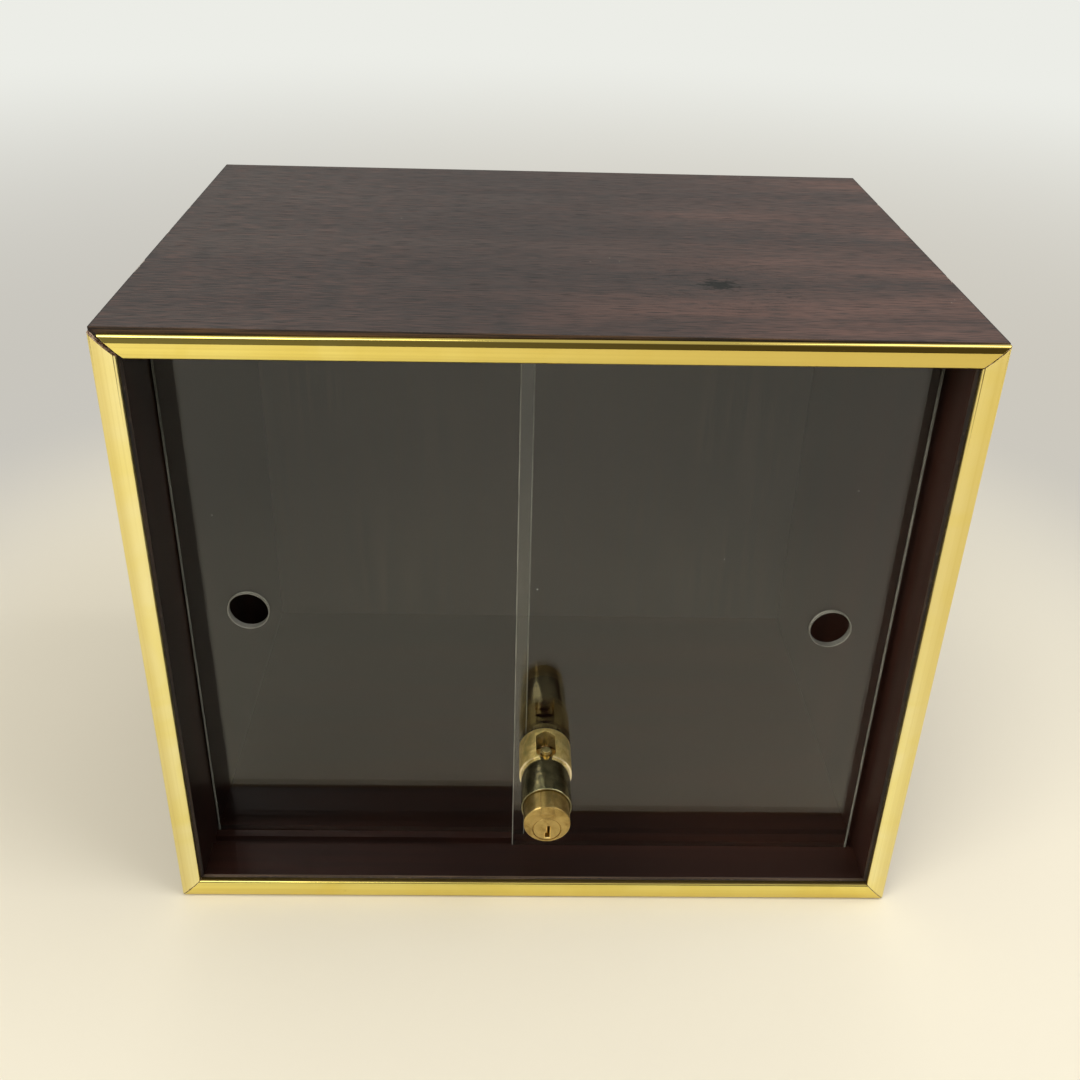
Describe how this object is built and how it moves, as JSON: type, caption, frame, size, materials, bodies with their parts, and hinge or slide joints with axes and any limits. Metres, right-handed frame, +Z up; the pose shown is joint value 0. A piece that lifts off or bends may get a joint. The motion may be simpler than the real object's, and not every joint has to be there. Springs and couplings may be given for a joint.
{
  "type": "glass-fronted display case",
  "caption": "Table-top wooden display case with a brass-edged front, sliding glass doors and a push lock on the front door.",
  "frame": {"origin": "centre of the wooden case's base, on the surface that it stands on", "axes": "+X to the right seen from the front, +Y from the front to the back, +Z up"},
  "size_m": [0.305, 0.2469, 0.258],
  "materials": {
    "veneered_wood": "dark stained veneer, satin lacquer",
    "back_board": "dark stained board",
    "spline_wood": "bare",
    "edge_brass": "polished, lightly worn",
    "door_glass": "clear, edges ground",
    "satin_brass": "satin, turned",
    "polished_brass": "polished",
    "washer_rubber": "matt",
    "lock_steel": "ground"
  },
  "bodies": {
    "case": {"top_panel": "veneered_wood", "bottom_panel": "veneered_wood", "left_side": "veneered_wood", "right_side": "veneered_wood", "back_panel": "back_board", "corner_splines": "spline_wood", "trim_top": "edge_brass", "trim_right": "edge_brass", "trim_bottom": "edge_brass", "trim_left": "edge_brass"},
    "rear_door": {"left_door": "door_glass"},
    "front_door": {"right_door": "door_glass", "lock_body": "satin_brass", "lock_sleeve": "polished_brass", "lock_front_washer": "washer_rubber", "lock_rear_washer": "washer_rubber", "lock_nut": "satin_brass"},
    "lock_cylinder": {"cylinder_shell": "satin_brass", "pin_chamber_insert": "satin_brass", "stop_stud": "satin_brass", "bolt": "lock_steel", "return_spring": "lock_steel", "driver_pins": "lock_steel", "driver_springs": "lock_steel"},
    "plug": {"key_plug": "satin_brass", "key_pins": "satin_brass"},
    "dog": {"locking_dog": "lock_steel", "dog_spring": "lock_steel"}
  },
  "joints": [
    {"name": "left_door_slide", "type": "slide", "parent": "case", "child": "rear_door", "axis": [1, 0, 0], "range_m": [0, 0.1477]},
    {"name": "right_door_slide", "type": "slide", "parent": "case", "child": "front_door", "axis": [-1, 0, 0], "range_m": [-0.0024, 0.1322]},
    {"name": "lock_push", "type": "slide", "parent": "front_door", "child": "lock_cylinder", "axis": [0, 1, 0], "range_m": [0, 0.008], "stiffness_N_per_m": 500, "springref_m": -0.008, "deforming": ["return_spring"]},
    {"name": "key_turn", "type": "hinge", "parent": "lock_cylinder", "child": "plug", "pos_m": [0.0027, -0.12, 0.0629], "axis": [0, 1, 0], "range_deg": [0, 90]},
    {"name": "dog_lift", "type": "slide", "parent": "lock_cylinder", "child": "dog", "axis": [0, 0, 1], "range_m": [0, 0.0012], "deforming": ["dog_spring"]}
  ],
  "couplings": [
    {"joint": "key_turn", "follows": "dog_lift", "rad_per_m": 1308.9}
  ]
}
